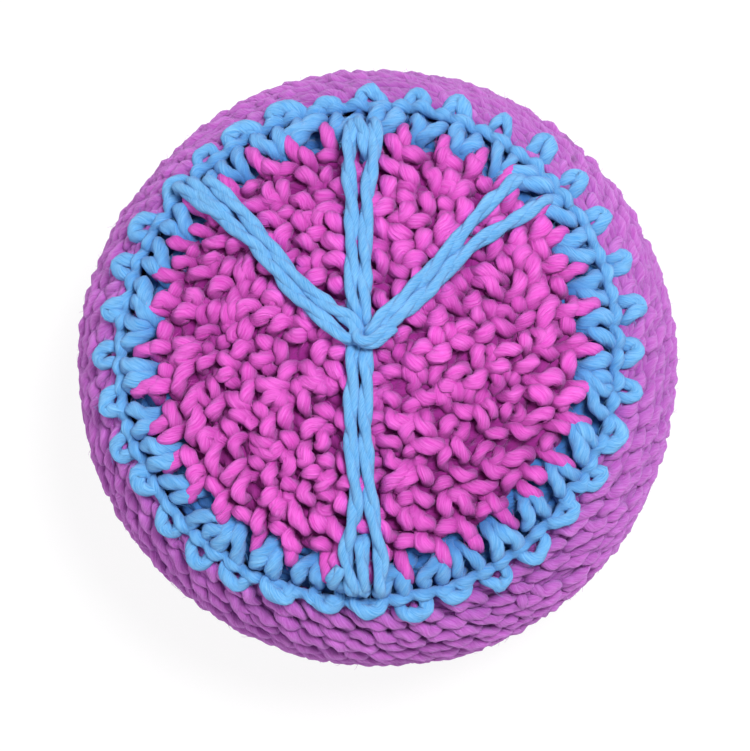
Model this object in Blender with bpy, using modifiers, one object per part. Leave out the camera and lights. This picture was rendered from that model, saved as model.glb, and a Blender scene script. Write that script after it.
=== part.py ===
# Crocheted footbag: a soft round bag lying on its flattened base, its decorated face upwards.
# Lengths are in metres. The origin is on the table under the middle of the bag, +Z is up.
import math

import bpy

MM = 0.001

# The bag's outer form: a rounded meridian, turned about Z and pressed flat where it lies
GIRTH_RADIUS = 28.0 * MM
GIRTH_HEIGHT = 16.5 * MM
CROWN_HEIGHT = 16.5 * MM
BASE_PRESSED_IN = 1.0 * MM
ROUNDNESS = 2.3

# The crocheted fabric, and where one panel ends and the next begins
FABRIC_THICKNESS = 2.6 * MM
CLEARANCE = 0.3 * MM
BORDER_INSET = 3.4 * MM
BORDER_WIDTH = 4.0 * MM
BASE_INSET = 8.0 * MM
CLOSING_RADIUS = 2.2 * MM
BORDER_RADIUS = GIRTH_RADIUS - BORDER_INSET
FACE_RADIUS = BORDER_RADIUS - BORDER_WIDTH
BASE_RADIUS = GIRTH_RADIUS - BASE_INSET

# The crochet shows in the outside of the fabric: rounds of stitches, with a dimple between each
# stitch and the next. The face's rounds end at these shares of its radius and are turned by
# these shares of a stitch; the round in its middle has no dimples.
FACE_ROUND_SHARES = (0.2, 0.38, 0.56, 0.745, 0.95)
FACE_STITCHES = (12, 18, 24, 30)
FACE_TURN_SHARES = (0.6, 0.1, 0.5, 0.9)
FACE_DIMPLE = 1.2 * MM
SIDE_ROUNDS = 7
SIDE_STITCHES = 36
SIDE_DIMPLE = 1.0 * MM

# The blue border stands a little proud of the fabric on both sides of it
BORDER_RISE = 0.5 * MM

# The drawn-up knot in the middle of the base
KNOT_LIFT = 0.5 * MM
KNOT_WAIST_SHARE = 0.7

# The yarn of the figure on the face: each arm is two strands that part towards the border
YARN_RADIUS = 0.58 * MM
STRAND_STEP = 1.0 * MM
ARM_OVERLAP = 1.2 * MM
FORK_LENGTH = 8.6 * MM
FORK_SPREAD = 2.95 * MM
SHORT_STRAND_LENGTH = 4.3 * MM

# The upright arms lie on the face, and the crossing ones climb over them near the middle
STRAIGHT_START = 0.9 * MM
CROSSING_START = 1.7 * MM
CLIMB_END = 3.7 * MM
CLIMB_LENGTH = 3.0 * MM

# The tie hooks round the meeting arms, between two bearings in degrees
TIE_RADIUS = 2.1 * MM
TIE_TURN = (-148.0, -32.0)

# Arms of the figure: bearing in degrees from +X, whether it crosses, whether it has a short strand
ARMS = {
    "upper": (90.0, False, True),
    "left": (134.5, True, True),
    "lower": (270.0, False, True),
    "right": (44.5, True, False),
}

# Points on the axis of a turned form are made one within this distance
WELD_DISTANCE = 0.01 * MM

# How finely the turned forms are divided: round the axis, with more on those with dimples, and
# along their walls
TURN_STEPS = 48
DIMPLED_TURN_STEPS = 2 * SIDE_STITCHES
LENGTH_STEPS = 2000
OUTER_WALL_STEP = 2.8 * MM
INNER_WALL_STEP = 3.6 * MM

MAGENTA = (0.578, 0.061, 0.402, 1.0)
BLUE = (0.091, 0.376, 0.753, 1.0)
PELLET = (0.52, 0.50, 0.46, 1.0)


def clear_scene():
    for obj in list(bpy.data.objects):
        bpy.data.objects.remove(obj, do_unlink=True)


def new_collection(name):
    collection = bpy.data.collections.new(name)
    bpy.context.scene.collection.children.link(collection)
    return collection


def new_material(name, colour, roughness):
    material = bpy.data.materials.new(name)
    material.use_nodes = True
    shader = material.node_tree.nodes["Principled BSDF"]
    shader.inputs["Base Color"].default_value = colour
    shader.inputs["Roughness"].default_value = roughness
    shader.inputs["Metallic"].default_value = 0.0
    return material


def meridian(angle, inset):
    """A point (radius, height) of the bag's surface, moved in by inset. The angle is 90 degrees
    at the top, 0 at the girth and -90 underneath."""
    power = 2.0 / ROUNDNESS
    radius = (GIRTH_RADIUS - inset) * abs(math.cos(angle)) ** power
    rise = abs(math.sin(angle)) ** power
    if angle >= 0.0:
        return radius, GIRTH_HEIGHT + (CROWN_HEIGHT - inset) * rise
    keel = GIRTH_HEIGHT + BASE_PRESSED_IN
    return radius, max(GIRTH_HEIGHT - (keel - inset) * rise, inset)


def angle_at(radius):
    """The angle at which the upper surface has this radius; the lower one has its negative."""
    return math.acos((radius / GIRTH_RADIUS) ** (ROUNDNESS / 2.0))


def crown_height(radius):
    return meridian(angle_at(radius), 0.0)[1]


def band(start, end, inset):
    """Points of the meridian from one angle to another: the outer wall, or one moved in."""
    step = INNER_WALL_STEP if inset else OUTER_WALL_STEP
    steps = max(2, round(abs(end - start) * GIRTH_RADIUS / step))
    return [meridian(start + (end - start) * i / steps, inset) for i in range(steps + 1)]


def turned(name, profile, closed, material, collection, turn_steps=TURN_STEPS):
    """A profile of (radius, height) points, running down its outer side, turned about Z."""
    mesh = bpy.data.meshes.new(name)
    edges = [(i, i + 1) for i in range(len(profile) - 1)]
    if closed:
        edges.append((len(profile) - 1, 0))
    mesh.from_pydata([(radius, 0.0, height) for radius, height in profile], edges, [])
    obj = bpy.data.objects.new(name, mesh)
    collection.objects.link(obj)
    mesh.materials.append(material)
    screw = obj.modifiers.new("turn", "SCREW")
    screw.axis = "Z"
    screw.steps = turn_steps
    screw.render_steps = turn_steps
    screw.use_merge_vertices = True
    screw.merge_threshold = WELD_DISTANCE
    screw.use_smooth_shade = True
    return obj


def evenly(start, end, steps):
    """Angles from one to the other that lie evenly along the meridian's length."""
    fine = [start + (end - start) * i / LENGTH_STEPS for i in range(LENGTH_STEPS + 1)]
    lengths = [0.0]
    for near, far in zip(fine, fine[1:]):
        lengths.append(lengths[-1] + math.dist(meridian(near, 0.0), meridian(far, 0.0)))
    angles = []
    for i in range(steps + 1):
        wanted = lengths[-1] * i / steps
        angles.append(min(zip(lengths, fine), key=lambda pair: abs(pair[0] - wanted))[1])
    return angles


def dimpled(obj, rounds):
    """Presses a turned wall in between its stitches. Each round gives the angle on the meridian
    where its dimples lie, its stitches, the share of a stitch it is turned by, and the depth."""
    bpy.context.view_layer.update()
    graph = bpy.context.evaluated_depsgraph_get()
    mesh = bpy.data.meshes.new_from_object(obj.evaluated_get(graph))
    obj.modifiers.clear()
    obj.data = mesh
    for angle, stitches, turn_share, depth in rounds:
        radius, height = meridian(angle, 0.0)
        for vertex in mesh.vertices:
            reach = math.hypot(vertex.co.x, vertex.co.y)
            if math.dist((reach, vertex.co.z), (radius, height)) > WELD_DISTANCE:
                continue
            turn = math.atan2(vertex.co.y, vertex.co.x)
            between = 0.5 - 0.5 * math.cos(stitches * turn - 2.0 * math.pi * turn_share)
            pressed, level = meridian(angle, depth * between)
            vertex.co = (vertex.co.x * pressed / radius, vertex.co.y * pressed / radius, level)


def strand(name, points, material, collection):
    """A length of yarn laid along the points."""
    curve = bpy.data.curves.new(name, "CURVE")
    curve.dimensions = "3D"
    curve.bevel_depth = YARN_RADIUS
    curve.bevel_resolution = 2
    curve.use_fill_caps = True
    spline = curve.splines.new("POLY")
    spline.points.add(len(points) - 1)
    for place, point in zip(spline.points, points):
        place.co = (*point, 1.0)
    obj = bpy.data.objects.new(name, curve)
    curve.materials.append(material)
    collection.objects.link(obj)
    return obj


def smooth_step(share):
    share = min(max(share, 0.0), 1.0)
    return share * share * (3.0 - 2.0 * share)


def on_face(x, y, lift):
    """A point this far above the face panel, or above the border's swell further out."""
    radius = math.hypot(x, y)
    ramp = 2.0 * YARN_RADIUS
    swell = BORDER_RISE * smooth_step((radius - FACE_RADIUS + ramp) / ramp)
    return x, y, crown_height(radius) + swell + lift


def make_face(material, collection):
    edge = angle_at(FACE_RADIUS)
    top = math.pi / 2.0
    angles = [top, angle_at(FACE_RADIUS * FACE_ROUND_SHARES[0] / 2.0)]
    rounds = []
    starts = FACE_ROUND_SHARES[:-1]
    ends = FACE_ROUND_SHARES[1:]
    for start, end, stitches, turn_share in zip(starts, ends, FACE_STITCHES, FACE_TURN_SHARES):
        middle = angle_at(FACE_RADIUS * (start + end) / 2.0)
        angles += [angle_at(FACE_RADIUS * start), middle]
        rounds.append((middle, stitches, turn_share, FACE_DIMPLE))
    angles += [angle_at(FACE_RADIUS * FACE_ROUND_SHARES[-1]), edge]
    outer = [meridian(angle, 0.0) for angle in angles]
    inner = band(edge, top, FABRIC_THICKNESS)
    face = turned("face_panel", outer + inner, False, material, collection, DIMPLED_TURN_STEPS)
    dimpled(face, rounds)


def make_border(material, collection):
    start = angle_at(FACE_RADIUS + CLEARANCE)
    end = angle_at(BORDER_RADIUS)
    outer = band(start, end, 0.0)
    inner = band(end, start, FABRIC_THICKNESS)
    proud = []
    for i, (radius, height) in enumerate(outer):
        swell = BORDER_RISE * math.sin(math.pi * i / (len(outer) - 1))
        proud.append((radius, height + swell))
    turned("blue_border", proud + inner, True, material, collection)


def make_side(material, collection):
    start = angle_at(BORDER_RADIUS + CLEARANCE)
    end = -angle_at(BASE_RADIUS + CLEARANCE)
    angles = evenly(start, end, 2 * SIDE_ROUNDS)
    # the place nearest to the girth moves onto it, so that the bag keeps its full width
    angles[angles.index(min(angles, key=abs))] = 0.0
    rounds = []
    for i, middle in enumerate(angles[1::2]):
        # each round lies half a stitch on from the one above
        rounds.append((middle, SIDE_STITCHES, i % 2 / 2.0, SIDE_DIMPLE))
    outer = [meridian(angle, 0.0) for angle in angles]
    inner = band(end, start, FABRIC_THICKNESS)
    side = turned("side_panel", outer + inner, True, material, collection, DIMPLED_TURN_STEPS)
    dimpled(side, rounds)


def make_base(material, collection):
    start = -angle_at(BASE_RADIUS)
    end = -angle_at(CLOSING_RADIUS)
    outer = band(start, end, 0.0)
    inner = band(end, start, FABRIC_THICKNESS)
    turned("base_panel", outer + inner, True, material, collection)


def make_closing_knot(material, collection):
    """A small spool of yarn in the hole that the last round leaves."""
    radius = CLOSING_RADIUS - FABRIC_THICKNESS * CLOSING_RADIUS / GIRTH_RADIUS - CLEARANCE
    top = FABRIC_THICKNESS
    middle = (top + KNOT_LIFT) / 2.0
    profile = [
        (0.0, top),
        (radius * KNOT_WAIST_SHARE, top),
        (radius, middle),
        (radius * KNOT_WAIST_SHARE, KNOT_LIFT),
        (0.0, KNOT_LIFT),
    ]
    turned("closing_knot", profile, False, material, collection)


def make_fill(material, collection):
    """One solid that stands for all the loose pellets."""
    inset = FABRIC_THICKNESS + CLEARANCE
    outer = band(math.pi / 2.0, -math.pi / 2.0, inset)
    turned("pellet_fill", outer, False, material, collection)


def arm_point(bearing, along, aside, crossing):
    """A point over the face, this far along an arm and aside from its middle line. A crossing
    arm climbs over the upright ones near the middle of the face."""
    x = along * math.cos(bearing) - aside * math.sin(bearing)
    y = along * math.sin(bearing) + aside * math.cos(bearing)
    lift = CLEARANCE + YARN_RADIUS
    if crossing:
        climbed = 1.0 - smooth_step((along - CLIMB_END) / CLIMB_LENGTH)
        lift += (2.0 * YARN_RADIUS + CLEARANCE) * climbed
    return on_face(x, y, lift)


def places_along(start, end):
    """Distances along an arm, about a step apart."""
    steps = round((end - start) / STRAND_STEP)
    return [start + (end - start) * i / steps for i in range(steps + 1)]


def make_arms(material, collection):
    reach = FACE_RADIUS + ARM_OVERLAP
    fork = reach - FORK_LENGTH
    close = YARN_RADIUS + CLEARANCE / 2.0
    for name, (degrees, crossing, has_short_strand) in ARMS.items():
        bearing = math.radians(degrees)
        start = CROSSING_START if crossing else STRAIGHT_START
        for side, sign in (("first", 1.0), ("second", -1.0)):
            points = []
            for along in places_along(start, reach):
                parted = smooth_step((along - fork) / (FORK_LENGTH / 2.0))
                aside = sign * (close + (FORK_SPREAD / 2.0 - close) * parted)
                points.append(arm_point(bearing, along, aside, crossing))
            strand(f"{name}_arm_{side}_strand", points, material, collection)
        if has_short_strand:
            short = places_along(reach - SHORT_STRAND_LENGTH, reach)
            points = [arm_point(bearing, along, 0.0, crossing) for along in short]
            strand(f"{name}_arm_short_strand", points, material, collection)


def make_centre_tie(material, collection):
    """The strand that hooks round the meeting arms, lying on top of them."""
    lift = 2.0 * CLEARANCE + 3.0 * YARN_RADIUS
    first, last = (math.radians(turn) for turn in TIE_TURN)
    steps = round(TIE_RADIUS * (last - first) / STRAND_STEP)
    points = []
    for i in range(steps + 1):
        turn = first + (last - first) * i / steps
        points.append(on_face(TIE_RADIUS * math.cos(turn), TIE_RADIUS * math.sin(turn), lift))
    strand("centre_tie", points, material, collection)


def build():
    clear_scene()
    collection = new_collection("footbag")
    magenta = new_material("magenta_yarn", MAGENTA, 0.85)
    blue = new_material("blue_yarn", BLUE, 0.8)
    pellets = new_material("plastic_pellets", PELLET, 0.4)
    make_face(magenta, collection)
    make_border(blue, collection)
    make_side(magenta, collection)
    make_base(magenta, collection)
    make_closing_knot(magenta, collection)
    make_fill(pellets, collection)
    make_arms(blue, collection)
    make_centre_tie(blue, collection)


build()
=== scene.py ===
import math

import bmesh
import bpy
import numpy as np
from mathutils import Matrix, Vector


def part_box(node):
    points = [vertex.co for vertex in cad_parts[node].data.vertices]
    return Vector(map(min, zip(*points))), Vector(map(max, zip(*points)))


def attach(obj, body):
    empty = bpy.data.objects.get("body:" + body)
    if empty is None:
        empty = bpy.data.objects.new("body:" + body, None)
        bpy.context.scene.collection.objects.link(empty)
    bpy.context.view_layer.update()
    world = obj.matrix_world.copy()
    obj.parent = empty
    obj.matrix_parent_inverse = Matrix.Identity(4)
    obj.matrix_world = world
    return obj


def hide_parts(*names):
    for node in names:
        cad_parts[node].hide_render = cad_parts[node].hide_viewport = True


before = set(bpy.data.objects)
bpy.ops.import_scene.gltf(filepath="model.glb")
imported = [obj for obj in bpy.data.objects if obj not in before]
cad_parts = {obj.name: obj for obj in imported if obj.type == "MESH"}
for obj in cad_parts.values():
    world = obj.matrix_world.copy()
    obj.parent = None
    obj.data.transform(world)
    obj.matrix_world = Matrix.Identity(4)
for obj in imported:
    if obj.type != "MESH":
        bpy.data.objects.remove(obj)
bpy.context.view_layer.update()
scene = bpy.context.scene
mm = 0.001
print("frame loaded:", len(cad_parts), "nodes")

# The bag's outline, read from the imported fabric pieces. Lengths in this file are in millimetres.
girthLow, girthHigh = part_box("side_panel")
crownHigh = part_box("face_panel")[1]
bag = {
    "girthRadius": (girthHigh.x - girthLow.x) / 2 / mm,
    "girthHeight": 16.5,
    "crownTop": crownHigh.z / mm,
    "basePressedIn": 1.0,    # how much of the round bottom the table flattens
    "roundness": 2.3,        # 2 is an ellipse, more is squarer
    "yarnInset": 1.5,        # from the fabric's outside to the middle of its yarn
    "lumps": 0.15,           # how far the filling pushes the fabric about
    "lumpWaves": 9,
    "lumpsRound": (2, 8),    # waves round the bag
    "lumpsDown": (0.08, 0.24),    # radians per mm down the bag
    "evenMiddle": 8,         # the lumps fade within this radius
    "evenFoot": 6,           # and below this height
    "seed": 11,
}
anyTurn = (0, 6.28)


def outline(inset):
    turns = np.linspace(math.pi / 2, -math.pi / 2, 1441)
    power = 2 / bag["roundness"]
    radius = (bag["girthRadius"] - inset) * np.abs(np.cos(turns)) ** power
    rise = np.abs(np.sin(turns)) ** power
    above = bag["girthHeight"] + (bag["crownTop"] - bag["girthHeight"] - inset) * rise
    below = bag["girthHeight"] - (bag["girthHeight"] + bag["basePressedIn"] - inset) * rise
    height = np.where(turns > 0, above, np.maximum(below, inset))
    return radius, height


def smoothed(values, width=25):
    padded = np.r_[np.full(width, values[0]), values, np.full(width, values[-1])]
    kernel = np.hanning(2 * width + 1)
    return np.convolve(padded, kernel / kernel.sum(), "valid")


radii, heights = outline(bag["yarnInset"])
arcs = np.r_[0, np.cumsum(np.hypot(np.diff(radii), np.diff(heights)))]
alongR, alongZ = np.gradient(radii, arcs), np.gradient(heights, arcs)
normalR, normalZ = smoothed(-alongZ), smoothed(alongR)
normalLength = np.hypot(normalR, normalZ)
normalR, normalZ = normalR / normalLength, normalZ / normalLength
outerRadii = radii + normalR * bag["yarnInset"]
arcTotal = arcs[-1]


def arcAtRadius(outer):
    upper = arcs < arcTotal * 0.5
    return float(np.interp(outer, outerRadii[upper], arcs[upper]))


lumpDice = np.random.default_rng(bag["seed"])
lumpWaves = [
    (lumpDice.integers(*bag["lumpsRound"]), lumpDice.uniform(*bag["lumpsDown"]),
     lumpDice.uniform(*anyTurn), lumpDice.uniform(*anyTurn))
    for _ in range(bag["lumpWaves"])]


def lumpAt(angle, arc):
    total = 0
    for count, per, first, second in lumpWaves:
        total = total + np.sin(count * angle + first) * np.sin(per * arc + second)
    return bag["lumps"] * total / math.sqrt(bag["lumpWaves"])


def onBag(angle, arc, out):
    # a point of the fabric: angle round the bag, arc from the crown down, out along the normal
    arc = np.abs(arc)
    radius = np.interp(arc, arcs, radii)
    height = np.interp(arc, arcs, heights)
    nr, nz = np.interp(arc, arcs, normalR), np.interp(arc, arcs, normalZ)
    evenMiddle = np.clip(radius / bag["evenMiddle"], 0.2, 1)
    evenFoot = np.clip(height / bag["evenFoot"], 0, 1)
    out = out + lumpAt(angle, arc) * evenMiddle * evenFoot
    radius = radius + nr * out
    return np.stack([radius * np.cos(angle), radius * np.sin(angle), height + nz * out], axis=-1)


def standOut(spots):
    # how far each point stands out of the bag's outline at the middle of its yarn, in mm
    reach = np.hypot(spots[:, 0], spots[:, 1])
    bearing = np.arctan2(spots[:, 2] - bag["girthHeight"], reach)
    known = np.arctan2(heights - bag["girthHeight"], radii)
    rising = known[::-1]
    nearR, nearZ = np.interp(bearing, rising, radii[::-1]), np.interp(bearing, rising, heights[::-1])
    nr, nz = np.interp(bearing, rising, normalR[::-1]), np.interp(bearing, rising, normalZ[::-1])
    return (reach - nearR) * nr + (spots[:, 2] - nearZ) * nz


# Yarn: a lobed section swept along a path, so that its plies wind round it.
yarn = {
    "radius": 0.73,
    "plies": 3,
    "sides": 12,
    "plyDepth": 0.20,
    "twistLength": 5.5,
    "step": 0.30,
    "uneven": 0.07,           # how much its thickness varies
    "loose": 0.05,            # how far it strays from its path, in mm
    "wearStep": 3,            # samples from one change to the next
    "mostWorn": 1.6,
    "dyeApart": 37.3,         # keeps the streaks of one run from repeating in the next
}


def sectionCurve(name, plies, sides, depth):
    curve = bpy.data.curves.new(name, "CURVE")
    curve.dimensions = "2D"
    spline = curve.splines.new("POLY")
    spline.points.add(sides - 1)
    for k, point in enumerate(spline.points):
        turn = -2 * math.pi * k / sides
        reach = 1 - depth * (0.5 - 0.5 * math.cos(plies * turn))
        point.co = (reach * math.cos(turn), reach * math.sin(turn), 0, 1)
    spline.use_cyclic_u = True
    section = bpy.data.objects.new(name, curve)
    scene.collection.objects.link(section)
    return section


def threaded(knots, closed, step):
    # Catmull-Rom through the knots (x, y, z, thickness, tint), sampled about a step apart
    knots = np.asarray(knots, float)
    if closed:
        before, start, end, after = (np.roll(knots, k, axis=0) for k in (1, 0, -1, -2))
    else:
        first, last = 2 * knots[0] - knots[1], 2 * knots[-1] - knots[-2]
        full = np.vstack([first, knots, last])
        before, start, end, after = full[:-3], full[1:-2], full[2:-1], full[3:]
    pieces = []
    for p0, p1, p2, p3 in zip(before, start, end, after):
        times = [np.linalg.norm(q[:3] - p[:3]) ** 0.5 + 1e-4 for p, q in ((p0, p1), (p1, p2), (p2, p3))]
        t1, t2, t3 = times[0], times[0] + times[1], sum(times)
        samples = max(2, round(times[1] ** 2 / step))
        t = (t1 + (t2 - t1) * np.arange(samples) / samples)[:, None]
        a1 = (t1 - t) / t1 * p0 + t / t1 * p1
        a2 = (t2 - t) / (t2 - t1) * p1 + (t - t1) / (t2 - t1) * p2
        a3 = (t3 - t) / (t3 - t2) * p2 + (t - t2) / (t3 - t2) * p3
        b1 = (t2 - t) / t2 * a1 + t / t2 * a2
        b2 = (t3 - t) / (t3 - t1) * a2 + (t - t1) / (t3 - t1) * a3
        pieces.append((t2 - t) / (t2 - t1) * b1 + (t - t1) / (t2 - t1) * b2)
    if not closed:
        pieces.append(knots[-1:])
    return np.vstack(pieces)


def spun(name, runs, section, sides, closed, twistLength):
    # runs are sampled paths (x, y, z, thickness, tint); the result is one mesh object at the origin
    curve = bpy.data.curves.new(name, "CURVE")
    curve.dimensions = "3D"
    curve.twist_mode = "MINIMUM"
    curve.bevel_mode = "OBJECT"
    curve.bevel_object = section
    curve.use_fill_caps = False
    spaces, tints = [], []
    around = -2 * math.pi * np.arange(sides) / sides
    for number, run in enumerate(runs):
        gaps = np.linalg.norm(np.diff(run[:, :3], axis=0), axis=1)
        along = np.r_[0, np.cumsum(gaps)]
        length = along[-1] + (np.linalg.norm(run[0, :3] - run[-1, :3]) if closed else 0)
        turnsOfPly = max(1, round(length / twistLength)) if closed else length / twistLength
        spline = curve.splines.new("POLY")
        spline.points.add(len(run) - 1)
        spline.points.foreach_set("co", np.c_[run[:, :3] * mm, np.ones(len(run))].ravel())
        spline.points.foreach_set("radius", run[:, 3] * mm)
        spline.points.foreach_set("tilt", along / length * turnsOfPly * 2 * math.pi)
        spline.use_cyclic_u = closed
        space = np.empty((len(run), sides, 3))
        space[..., 0] = np.cos(around)
        space[..., 1] = np.sin(around)
        space[..., 2] = (along + yarn["dyeApart"] * number)[:, None]
        spaces.append(space.reshape(-1, 3))
        tints.append(np.repeat(run[:, 4], sides))
    holder = bpy.data.objects.new(name + "Path", curve)
    scene.collection.objects.link(holder)
    bpy.context.view_layer.update()
    graph = bpy.context.evaluated_depsgraph_get()
    mesh = bpy.data.meshes.new_from_object(holder.evaluated_get(graph))
    bpy.data.objects.remove(holder)
    mesh.name = name
    space = mesh.attributes.new("yarnSpace", "FLOAT_VECTOR", "POINT")
    space.data.foreach_set("vector", np.vstack(spaces).astype(np.float32).ravel())
    tint = mesh.attributes.new("stitchTint", "FLOAT", "POINT")
    tint.data.foreach_set("value", np.concatenate(tints).astype(np.float32))
    spots = np.empty(len(mesh.vertices) * 3, np.float32)
    mesh.vertices.foreach_get("co", spots)
    # standOut also sets the painted shade in the yarn material: the lower the yarn lies, the darker it is
    # painted
    proud = mesh.attributes.new("standOut", "FLOAT", "POINT")
    proud.data.foreach_set("value", standOut(spots.reshape(-1, 3) / mm).astype(np.float32))
    work = bmesh.new()
    work.from_mesh(mesh)
    if not closed:
        rims = [paintedEdgeShade for paintedEdgeShade in work.edges if paintedEdgeShade.is_boundary]
        bmesh.ops.holes_fill(work, edges=rims, sides=0)
    bmesh.ops.recalc_face_normals(work, faces=work.faces)
    for face in work.faces:
        face.smooth = True
    work.to_mesh(mesh)
    work.free()
    made = bpy.data.objects.new(name, mesh)
    scene.collection.objects.link(made)
    return made


stitchSection = sectionCurve("stitchSection", yarn["plies"], yarn["sides"], yarn["plyDepth"])

# One single crochet: across in stitch widths, up in rounds, out in mm, share of the yarn's radius.
crochet = {
    "legs": [
        (-0.34, 0.55, -1.00, 0.86), (-0.22, 0.26, -1.00, 0.86), (-0.10, 0.02, -0.50, 0.88),
        (-0.14, 0.14, 0.42, 1.00), (-0.19, 0.27, 1.08, 1.12), (-0.23, 0.40, 0.82, 1.08),
        (-0.22, 0.53, -0.05, 0.90), (-0.08, 0.66, -0.70, 0.84), (0.12, 0.74, -0.65, 0.84),
        (0.26, 0.65, -0.05, 0.90), (0.27, 0.53, 0.75, 1.06), (0.23, 0.39, 1.12, 1.12),
        (0.17, 0.24, 0.48, 1.00), (0.12, 0.08, -0.45, 0.88), (0.16, 0.28, -1.10, 0.86),
        (0.02, 0.50, -0.80, 0.86),
    ],
    "tooth": [
        (-0.12, 0.64, 0.00, 0.90), (-0.08, 0.79, 0.85, 1.04), (0.00, 0.92, 1.20, 1.12),
        (0.11, 1.03, 0.75, 1.02), (0.21, 1.06, -0.35, 0.88), (0.32, 0.97, -0.45, 0.88),
        (0.42, 0.85, 0.45, 1.00), (0.54, 0.79, 1.00, 1.10), (0.67, 0.83, 0.55, 1.00),
        (0.76, 0.98, -0.30, 0.88), (0.74, 1.14, 0.30, 0.96), (0.63, 1.23, 0.68, 1.04),
        (0.50, 1.17, 0.15, 0.94), (0.56, 1.03, -0.60, 0.86), (0.74, 0.92, -0.90, 0.86),
    ],
    # the face's last tops poke out between the border's stitches
    "rim": [
        (-0.12, 0.64, -0.05, 0.90), (-0.08, 0.80, 0.70, 1.02), (-0.03, 0.93, 1.18, 1.10),
        (0.02, 1.04, 0.95, 1.08), (0.07, 1.10, -0.10, 0.92), (0.16, 1.06, -0.70, 0.86),
        (0.30, 0.96, -0.50, 0.86), (0.42, 0.85, 0.35, 0.98), (0.55, 0.78, 0.95, 1.12),
        (0.68, 0.82, 0.55, 1.04), (0.80, 0.95, -0.40, 0.88), (0.76, 1.02, -0.90, 0.86),
    ],
    "borderLegs": [
        (-0.32, 0.60, -1.10, 0.86), (-0.20, 0.32, -1.10, 0.86), (-0.06, 0.12, -0.50, 0.90),
        (-0.09, 0.22, 0.55, 1.02), (-0.16, 0.38, 1.08, 1.10), (-0.23, 0.58, 1.12, 1.12),
        (-0.25, 0.74, 0.75, 1.06), (-0.13, 0.84, -0.50, 0.88), (0.12, 0.86, -0.50, 0.88),
        (0.27, 0.77, 0.75, 1.06), (0.26, 0.61, 1.12, 1.12), (0.19, 0.42, 1.08, 1.10),
        (0.11, 0.25, 0.55, 1.02), (0.08, 0.12, -0.50, 0.90), (0.16, 0.32, -1.20, 0.86),
        (0.02, 0.54, -0.90, 0.86),
    ],
    "crescent": [
        (0.06, 0.74, -0.80, 0.86), (0.22, 0.92, -0.30, 0.82), (0.33, 1.08, 1.35, 0.88),
        (0.39, 1.26, 1.75, 0.98), (0.50, 1.37, 1.85, 1.04), (0.60, 1.30, 1.65, 0.98),
        (0.63, 1.08, 1.30, 0.90), (0.75, 0.92, -0.50, 0.82), (0.92, 0.78, -0.90, 0.86),
    ],
    # fingers of the face that reach out between the border's stitches
    "fingers": [
        (0.24, -0.14, -0.95, 0.86), (0.38, -0.10, -0.10, 0.88), (0.43, 0.06, 0.80, 1.02),
        (0.48, 0.26, 1.08, 1.04), (0.51, 0.44, 0.85, 0.90), (0.525, 0.54, 0.05, 0.68),
        (0.53, 0.36, -0.70, 0.72), (0.62, 0.08, -1.00, 0.84),
    ],
    "sideLegs": [
        (-0.34, 0.55, -0.95, 0.90), (-0.30, 0.30, -0.95, 0.90), (-0.26, 0.14, -0.40, 0.92),
        (-0.22, 0.22, 0.50, 1.00), (-0.12, 0.34, 1.00, 1.06), (-0.01, 0.46, 0.85, 1.04),
        (0.06, 0.55, 0.10, 0.94), (0.13, 0.64, -0.50, 0.90), (0.28, 0.68, -0.50, 0.90),
        (0.42, 0.60, 0.10, 0.94), (0.40, 0.50, 0.85, 1.04), (0.32, 0.38, 1.00, 1.06),
        (0.22, 0.26, 0.50, 1.00), (0.12, 0.14, -0.40, 0.92), (0.20, 0.32, -1.00, 0.90),
        (0.05, 0.52, -0.85, 0.90),
    ],
    "flat": [
        (-0.04, 0.74, 0.20, 0.94), (0.04, 0.84, 0.85, 1.02), (0.15, 0.94, 1.00, 1.06),
        (0.27, 1.02, 0.75, 1.02), (0.36, 1.06, -0.05, 0.92), (0.44, 0.96, -0.40, 0.90),
        (0.54, 0.84, 0.30, 0.96), (0.65, 0.88, 0.85, 1.02), (0.77, 0.98, 0.95, 1.05),
        (0.88, 1.05, 0.55, 1.00), (0.96, 1.06, -0.20, 0.92), (0.85, 1.10, -0.75, 0.92),
        (0.64, 1.02, -0.85, 0.92),
    ],
    "jitter": {
        # stitch width, round height, out, yarn size, single knots
        "face": (0.09, 0.09, 0.20, 0.09, 0.045),
        "border": (0.06, 0.06, 0.16, 0.08, 0.035),
        "side": (0.07, 0.05, 0.08, 0.06, 0.030),
        "base": (0.06, 0.05, 0.08, 0.06, 0.030),
    },
    "mostOff": 1.5,        # no stitch strays further in height, in deviations
    "tint": 0.5,
    "topTint": 0.2,
    "lean": 0.05,
    "shear": 1.4,          # how soon a stitch leaves its foot for its head
    "slantFrom": 0.4,      # a slanting stitch turns about this height
    "topLift": 0.7,
    "knobFrom": 0.95,      # what reaches further is an outer knob
    "knobSpread": 1.5,
    "fingerLoose": {"reach": 0.18, "across": 0.06, "lift": 0.12, "tint": 0.5},
}
# The border's cord of small beads: the tops of its stitches, two beads on each.
beadLine = {
    "knots": [
        (0.00, 0.87, 1.00, 0.74), (0.25, 0.89, 1.34, 1.00),
        (0.50, 0.89, 1.02, 0.76), (0.75, 0.88, 1.34, 1.00),
    ],
    "size": 0.98,
    "wobble": 0.03,
    "tint": 0.3,
    "pushedOut": 0.08,     # further out where the knobs lie flat
}
# The back of the fabric: yarn that runs round behind the stitches and closes the holes between them.
backing = {
    "places": {
        "face": (0.05, 0.38, 0.72), "border": (0.08, 0.38, 0.66, 0.94),
        "side": (0.05, 0.30, 0.55, 0.80), "base": (0.08, 0.58),
    },
    "out": {"face": -0.68, "border": -0.90, "side": 0.10, "base": -0.20},
    "fuller": {"face": 0.0, "border": 0.0, "side": 0.70, "base": 0.0},   # mm more at the far side of the bag
    "size": {"face": 1.32, "border": 1.32, "side": 0.95, "base": 1.2},
    "wave": 0.3,
    "loose": {"arc": 0.5, "out": 0.3, "tint": 0.3},
    "step": 0.9,
}


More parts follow.
